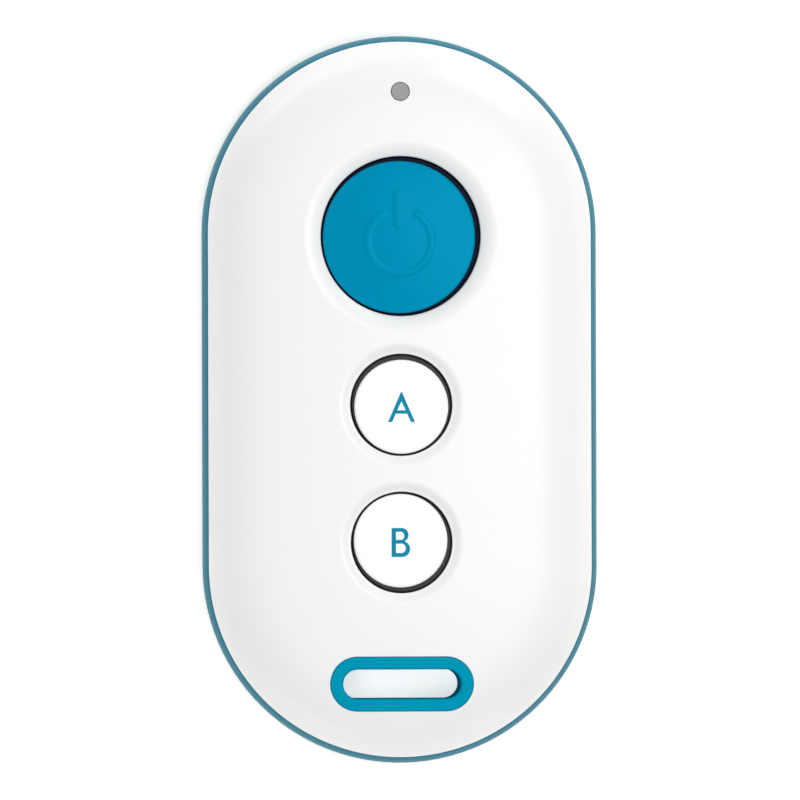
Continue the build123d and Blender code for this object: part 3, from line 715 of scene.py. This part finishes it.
def build_snap(i):
    skin = Skin()
    outline = [(1.82, 6.60), (2.00, 6.60), (1.55, 6.74), (1.08, 6.87), (0.55, 6.925), (0.02, 6.95), (0.02, 6.87), (0.5, 6.845), (1.0, 6.80), (1.4, 6.70)]
    a = np.linspace(0, 2 * math.pi, 64, endpoint=False)
    c = (0.0, KEY_Y[i])
    rings = [skin.points([(r * math.cos(t), KEY_Y[i] + r * math.sin(t), z) for t in a]) for r, z in outline]
    m = len(outline)
    for k in range(m):
        (r0, z0), (r1, z1) = outline[k], outline[(k + 1) % m]
        nr, nz = z1 - z0, r0 - r1
        p = [skin.co[j] for j in rings[k]]
        n = ring_normals(p, nr, nz, c)
        skin.strip(rings[k], rings[(k + 1) % m], n, n)
    return skin.make(KEYS[i] + "_snap_soft")


# ================================================================ materials
def srgb(r, g, b):
    out = []
    for v in (r, g, b):
        v /= 255.0
        out.append(v / 12.92 if v <= 0.04045 else ((v + 0.055) / 1.055) ** 2.4)
    return (*out, 1.0)


def surface_material(name, color, rough, metallic=0.0, vary=0.03, grain=900.0, bump=0.0, bump_scale=4000.0,
                     coat=0.0, coat_rough=0.1, ior=1.5, rough_vary=0.05, stretch=None, subsurface=0.0,
                     spec=0.5, spec_tint=None, transmission=0.0, tint=None):
    """Principled surface whose colour and roughness drift a little with procedural noise."""
    m = bpy.data.materials.new(name)
    m.use_nodes = True
    t = m.node_tree
    t.nodes.clear()
    out = t.nodes.new("ShaderNodeOutputMaterial")
    sh = t.nodes.new("ShaderNodeBsdfPrincipled")
    t.links.new(sh.outputs["BSDF"], out.inputs["Surface"])
    coord = t.nodes.new("ShaderNodeTexCoord")
    mapping = t.nodes.new("ShaderNodeMapping")
    mapping.inputs["Scale"].default_value = stretch or (1.0, 1.0, 1.0)
    t.links.new(coord.outputs["Object"], mapping.inputs["Vector"])
    broad = t.nodes.new("ShaderNodeTexNoise")
    broad.inputs["Scale"].default_value = grain
    broad.inputs["Detail"].default_value = 3.0
    t.links.new(mapping.outputs["Vector"], broad.inputs["Vector"])
    mix = t.nodes.new("ShaderNodeMix")
    mix.data_type = "RGBA"
    c = np.array(color[:3])
    other = np.array(tint[:3]) if tint is not None else c * (1 - 2 * vary)
    mix.inputs[6].default_value = (*np.clip(other, 0, 1), 1)
    mix.inputs[7].default_value = (*np.clip(c * (1 + (0 if tint is not None else vary)), 0, 1), 1)
    t.links.new(broad.outputs["Fac"], mix.inputs[0])
    t.links.new(mix.outputs[2], sh.inputs["Base Color"])
    fine = t.nodes.new("ShaderNodeTexNoise")
    fine.inputs["Scale"].default_value = bump_scale
    fine.inputs["Detail"].default_value = 2.0
    t.links.new(mapping.outputs["Vector"], fine.inputs["Vector"])
    span = t.nodes.new("ShaderNodeMapRange")
    span.inputs["To Min"].default_value = max(0.0, rough - rough_vary)
    span.inputs["To Max"].default_value = min(1.0, rough + rough_vary)
    t.links.new(fine.outputs["Fac"], span.inputs["Value"])
    t.links.new(span.outputs["Result"], sh.inputs["Roughness"])
    if bump > 0:
        b = t.nodes.new("ShaderNodeBump")
        b.inputs["Strength"].default_value = 1.0
        b.inputs["Distance"].default_value = bump * MM
        t.links.new(fine.outputs["Fac"], b.inputs["Height"])
        t.links.new(b.outputs["Normal"], sh.inputs["Normal"])
    sh.inputs["Metallic"].default_value = metallic
    sh.inputs["IOR"].default_value = ior
    sh.inputs["Coat Weight"].default_value = coat
    sh.inputs["Coat Roughness"].default_value = coat_rough
    sh.inputs["Specular IOR Level"].default_value = spec
    if spec_tint is not None:
        sh.inputs["Specular Tint"].default_value = spec_tint
    sh.inputs["Transmission Weight"].default_value = transmission
    if subsurface > 0:
        sh.inputs["Subsurface Weight"].default_value = subsurface
        sh.inputs["Subsurface Radius"].default_value = (0.9, 0.9, 0.9)
        sh.inputs["Subsurface Scale"].default_value = 0.0006
    return m


MAT = {
    "cover_white": surface_material("cover_white", srgb(240, 240.5, 240.5), 0.34, vary=0.004, grain=300, rough_vary=0.03, bump=0.0004, bump_scale=1500),
    # shell_blue and collar_blue are one blue plastic: shell_blue is the shaded copy, its darker colour paints the
    # shade on the shell's side walls
    "shell_blue": surface_material("shell_blue", srgb(26, 120, 144), 0.42, vary=0.02, grain=260, rough_vary=0.04, bump=0.0006, bump_scale=2500, spec=0.08, spec_tint=(0.3, 0.85, 1.0, 1.0)),
    "collar_blue": surface_material("collar_blue", srgb(0, 149, 181), 0.45, vary=0.015, grain=260, rough_vary=0.04, bump=0.0006, bump_scale=2500, spec=0.0),
    "cap_blue": surface_material("cap_blue", srgb(0, 138, 178), 0.20, vary=0.012, grain=300, rough_vary=0.02, bump=0.0003, bump_scale=1800, spec=0.15, spec_tint=(0.04, 0.8, 1.0, 1.0)),
    "cap_white": surface_material("cap_white", srgb(250, 250, 250), 0.30, vary=0.004, grain=400, rough_vary=0.03, bump=0.0005, bump_scale=2500),
    "ink_teal": surface_material("ink_teal", srgb(14, 138, 169), 0.4, vary=0.05, grain=2600, rough_vary=0.05, bump=0.0006, bump_scale=5000, spec=0.04),
    "silicone_dark": surface_material("silicone_dark", srgb(42, 42, 45), 0.55, vary=0.08, grain=700, rough_vary=0.08, bump=0.003, bump_scale=3500),
    # silicone_navy: near-black, partly the power keypad's own dark rubber and partly painted shade for the shadow in
    # the gap round the power cap
    "silicone_navy": surface_material("silicone_navy", srgb(14, 24, 42), 0.6, vary=0.08, grain=700, rough_vary=0.08, bump=0.003, bump_scale=3500, spec=0.1),
    "frame_grey": surface_material("frame_grey", srgb(120, 124, 128), 0.55, vary=0.05, grain=500, rough_vary=0.06, bump=0.004, bump_scale=2500),
    "switch_black": surface_material("switch_black", srgb(32, 32, 34), 0.6, vary=0.08, grain=1200, rough_vary=0.06, bump=0.004, bump_scale=5000),
    "plunger_white": surface_material("plunger_white", srgb(228, 226, 218), 0.4, vary=0.02, grain=1500, rough_vary=0.05, bump=0.001, bump_scale=4000),
    "spring_steel": surface_material("spring_steel", srgb(205, 203, 198), 0.28, metallic=1.0, vary=0.05, grain=1200, rough_vary=0.08, bump=0.0008, bump_scale=3000, stretch=(1, 14, 1)),
    "cell_nickel": surface_material("cell_nickel", srgb(208, 206, 200), 0.26, metallic=1.0, vary=0.05, grain=1000, rough_vary=0.08, bump=0.0008, bump_scale=3000, stretch=(12, 1, 1)),
    "tin_plate": surface_material("tin_plate", srgb(214, 212, 206), 0.38, metallic=1.0, vary=0.08, grain=2500, rough_vary=0.1, bump=0.002, bump_scale=4000),
    "can_nickel": surface_material("can_nickel", srgb(214, 209, 196), 0.2, metallic=1.0, vary=0.04, grain=1500, rough_vary=0.06, bump=0.0005, bump_scale=3000, stretch=(1, 10, 1)),
    "track_gold": surface_material("track_gold", srgb(226, 178, 92), 0.3, metallic=1.0, vary=0.06, grain=1800, rough_vary=0.08, bump=0.0008, bump_scale=4000),
    "chip_black": surface_material("chip_black", srgb(28, 28, 30), 0.62, vary=0.08, grain=2500, rough_vary=0.05, bump=0.003, bump_scale=7000),
    "capacitor_tan": surface_material("capacitor_tan", srgb(172, 136, 96), 0.45, vary=0.07, grain=2500, rough_vary=0.06, bump=0.002, bump_scale=5000),
    "resistor_black": surface_material("resistor_black", srgb(34, 34, 38), 0.3, vary=0.1, grain=2600, rough_vary=0.08, bump=0.001, bump_scale=5000),
    "led_body": surface_material("led_body", srgb(236, 230, 196), 0.35, vary=0.04, grain=2500, rough_vary=0.05, bump=0.001, bump_scale=5000, subsurface=0.2),
    "window_grey": surface_material("window_grey", srgb(154, 154, 155), 0.22, vary=0.02, grain=1800, rough_vary=0.04, bump=0.0006, bump_scale=4000),
    "screw_steel": surface_material("screw_steel", srgb(178, 178, 180), 0.32, metallic=1.0, vary=0.06, grain=2200, rough_vary=0.08, bump=0.0015, bump_scale=4000, stretch=(8, 1, 1)),
}


def board_material():
    """Green solder mask with faint tracks under it."""
    m = surface_material("board_green", srgb(16, 96, 58), 0.3, vary=0.05, grain=700, rough_vary=0.05)
    t = m.node_tree
    sh = next(n for n in t.nodes if n.type == "BSDF_PRINCIPLED")
    coord = next(n for n in t.nodes if n.type == "TEX_COORD")
    base = next(n for n in t.nodes if n.type == "MIX")
    brick = t.nodes.new("ShaderNodeTexBrick")
    brick.inputs["Scale"].default_value = 260.0
    brick.inputs["Mortar Size"].default_value = 0.035
    brick.inputs["Color1"].default_value = (1, 1, 1, 1)
    brick.inputs["Color2"].default_value = (0.93, 0.93, 0.93, 1)
    brick.inputs["Mortar"].default_value = (0.6, 0.78, 0.6, 1)
    t.links.new(coord.outputs["Object"], brick.inputs["Vector"])
    mul = t.nodes.new("ShaderNodeMix")
    mul.data_type = "RGBA"
    mul.blend_type = "MULTIPLY"
    mul.inputs[0].default_value = 1.0
    t.links.new(base.outputs[2], mul.inputs[6])
    t.links.new(brick.outputs["Color"], mul.inputs[7])
    t.links.new(mul.outputs[2], sh.inputs["Base Color"])
    return m


MAT["board_green"] = board_material()


def paint(o, key):
    o.data.materials.clear()
    o.data.materials.append(MAT[key])


# ================================================================ pieces
slots = {s["node"]: s["material_slot"] for s in frame["record"]["subparts"]}
# the slot collar, part of the blue shell, takes collar_blue, the lit copy of the shell's plastic; the shell keeps the
# painted-shade copy
for node, o in NODES.items():
    # the power key base takes silicone_navy, whose near-black colour is partly painted shade in the gap round the
    # power cap
    paint(o, {"slot_collar": "collar_blue", "power_key_base": "silicone_navy"}.get(node, slots[node]))

cover = build_cover()
paint(cover, "cover_white")
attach(cover, "case")
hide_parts("front_cover")

cap = build_power_cap()
paint(cap, "cap_blue")
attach(cap, "power_key")
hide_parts("power_cap")

for i, body, shape, at in ((1, "a_key", letter_a(), (0.015, -0.734)), (2, "b_key", letter_b(), (-0.09, -13.755))):
    ink = build_letter("letter_" + KEYS[i], shape, i, at)
    paint(ink, "ink_teal")
    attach(ink, body)

for i in range(3):
    web = build_web(i)
    # the power web's silicone_navy is partly painted shade for the gap round the power cap
    paint(web, "silicone_navy" if i == 0 else "silicone_dark")
    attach(web, "case")
    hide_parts(KEYS[i] + "_key_web")
    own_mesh(web)
    snap = build_snap(i)
    paint(snap, "spring_steel")
    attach(snap, "case")
    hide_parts(KEYS[i] + "_snap_dome")
    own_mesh(snap)


# ================================================================ floor, light, camera
def build_floor():
    mesh = bpy.data.meshes.new("floor_sheet")
    n, size = 24, 2.4
    verts, faces = [], []
    for j in range(n + 1):
        for i in range(n + 1):
            verts.append(((i / n - 0.5) * size, (j / n - 0.5) * size, -0.00002))
    for j in range(n):
        for i in range(n):
            k = j * (n + 1) + i
            faces.append((k, k + 1, k + n + 2, k + n + 1))
    mesh.from_pydata(verts, [], faces)
    o = bpy.data.objects.new("floor_sheet", mesh)
    bpy.context.scene.collection.objects.link(o)
    m = bpy.data.materials.new("floor_pale")
    m.use_nodes = True
    t = m.node_tree
    sh = t.nodes["Principled BSDF"]
    coord = t.nodes.new("ShaderNodeTexCoord")
    noise = t.nodes.new("ShaderNodeTexNoise")
    noise.inputs["Scale"].default_value = 40.0
    t.links.new(coord.outputs["Object"], noise.inputs["Vector"])
    mix = t.nodes.new("ShaderNodeMix")
    mix.data_type = "RGBA"
    mix.inputs[6].default_value = (0.93, 0.93, 0.93, 1)
    mix.inputs[7].default_value = (0.95, 0.95, 0.95, 1)
    t.links.new(noise.outputs["Fac"], mix.inputs[0])
    t.links.new(mix.outputs[2], sh.inputs["Base Color"])
    glow = t.nodes.new("ShaderNodeMix")
    glow.data_type = "RGBA"
    glow.inputs[6].default_value = (0.98, 0.918, 0.825, 1)
    glow.inputs[7].default_value = (1.0, 0.936, 0.842, 1)
    t.links.new(noise.outputs["Fac"], glow.inputs[0])
    t.links.new(glow.outputs[2], sh.inputs["Emission Color"])
    sh.inputs["Emission Strength"].default_value = 0.52
    sh.inputs["Roughness"].default_value = 0.9
    sh.inputs["Specular IOR Level"].default_value = 0.0
    mesh.materials.append(m)
    return o


build_floor()

world = bpy.data.worlds.new("soft_room")
bpy.context.scene.world = world
world.use_nodes = True
bg = world.node_tree.nodes["Background"]
bg.inputs["Color"].default_value = (1.0, 1.0, 1.0, 1)
bg.inputs["Strength"].default_value = 0.25


def area(name, at, aim, size, energy, color=(1, 1, 1)):
    d = bpy.data.lights.new(name, "AREA")
    d.shape = "RECTANGLE"
    d.size, d.size_y = size
    d.energy = energy
    d.color = color
    o = bpy.data.objects.new(name, d)
    o.location = at
    o.rotation_euler = (Vector(aim) - Vector(at)).to_track_quat("-Z", "Y").to_euler()
    bpy.context.scene.collection.objects.link(o)
    return o


# soft boxes 0.30 m from the object: bearing from +X, height above the floor, width and height, watts
for name, bearing, height, size, watts in (
    ("key_low_back", 60, 18, (0.12, 0.12), 0.199),
    ("fill_low_front", 300, 5, (0.045, 0.045), 0.033),
    ("top_right", 20, 75, (0.14, 0.14), 0.298),
    ("top_diffuse_front", 240, 80, (0.09, 0.09), 0.385),
    ("strip_left_back", 120, 0, (0.20, 0.014), 0.121),
    ("strip_left_front", 240, 0, (0.20, 0.014), 0.062),
):
    a, e = math.radians(bearing), math.radians(height)
    lamp = area(name, (0.30 * math.cos(a) * math.cos(e), 0.30 * math.sin(a) * math.cos(e), 0.30 * math.sin(e) + 0.01), (0.0, 0.0, 0.01), size, watts)
    lamp.visible_camera = False
    lamp.visible_glossy = not name.startswith("top_diffuse")

# camera at the photograph's viewing angle
TX, TY, RZ = math.radians(0.055), math.radians(-1.708), math.radians(-0.172)
DIST = 3000.0
rx, ry, rz = Matrix.Rotation(TX, 3, "X"), Matrix.Rotation(TY, 3, "Y"), Matrix.Rotation(RZ, 3, "Z")
turn = rx @ ry @ rz
eye = Vector((0.049, -0.055, 6.0)) + turn.col[2] * DIST
cam_data = bpy.data.cameras.new("photo_view")
cam = bpy.data.objects.new("photo_view", cam_data)
cam.matrix_world = Matrix.Translation(eye * MM) @ turn.to_4x4()
cam_data.sensor_width = 36.0
cam_data.lens = 31157.0 * 36.0 / 800.0
cam_data.clip_start, cam_data.clip_end = 0.1, 12.0
cam_data.dof.use_dof = False
bpy.context.scene.collection.objects.link(cam)
bpy.context.scene.camera = cam

bpy.context.scene.view_settings.view_transform = "Standard"
bpy.context.scene.view_settings.look = "None"

bpy.context.view_layer.update()
